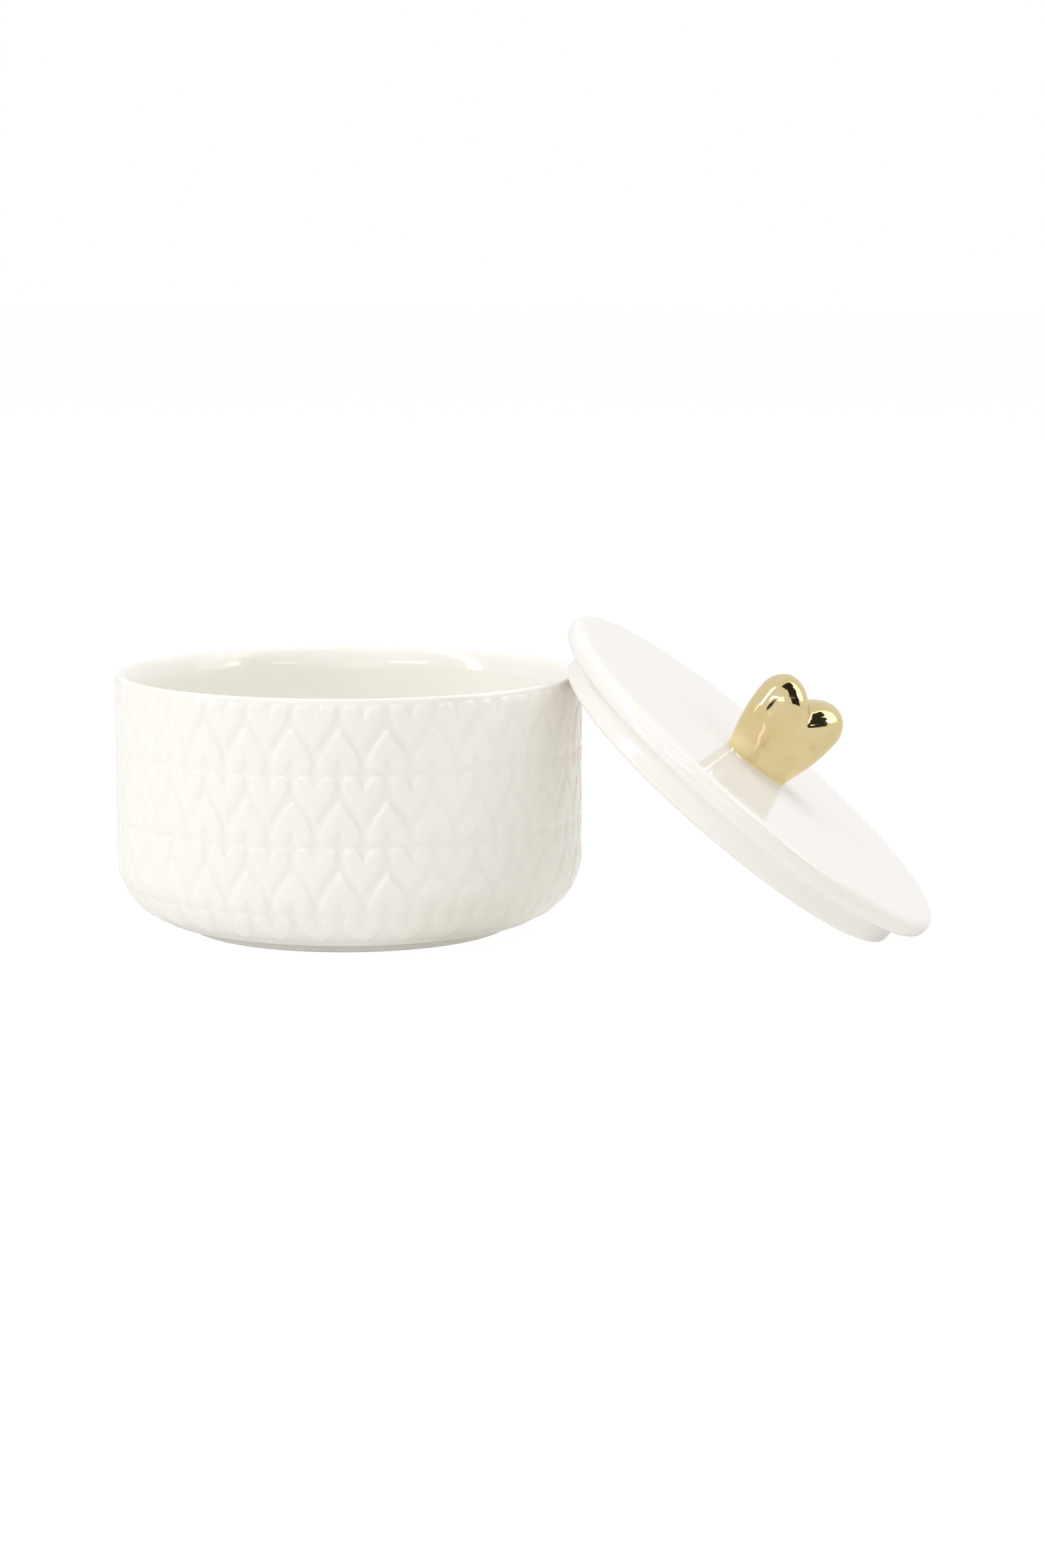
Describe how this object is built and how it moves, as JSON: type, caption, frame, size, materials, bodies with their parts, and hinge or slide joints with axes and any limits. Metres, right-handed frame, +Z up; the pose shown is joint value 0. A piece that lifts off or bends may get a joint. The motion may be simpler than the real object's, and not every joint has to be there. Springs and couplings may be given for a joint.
{
  "type": "lidded ceramic trinket box",
  "caption": "Round glazed ceramic trinket bowl with a lift-off lid, shown leaning on the rim, with a locating ring below and a gold heart knob on top.",
  "frame": {"origin": "on the table, under the middle of the bowl and its leaning lid taken together", "axes": "+Z up, +X from the bowl towards the lid's lower edge"},
  "size_m": [0.1748, 0.1, 0.0668],
  "materials": {
    "bowl_glaze": "glossy ivory glaze over an embossed wall",
    "lid_glaze": "glossy ivory glaze, smooth",
    "ring_glaze": "glossy ivory glaze, with a matt wiped lower edge",
    "gold_lustre": "mirror-gold lustre fired over the glaze"
  },
  "bodies": {
    "bowl": {"bowl": "bowl_glaze"},
    "lid": {"lid_plate": "lid_glaze", "locating_ring": "ring_glaze", "heart_knob": "gold_lustre"}
  },
  "joints": [
    {"name": "lid_lift", "type": "slide", "parent": "bowl", "child": "lid", "axis": [0, 0, 1], "range_m": [0, 0.08]}
  ]
}
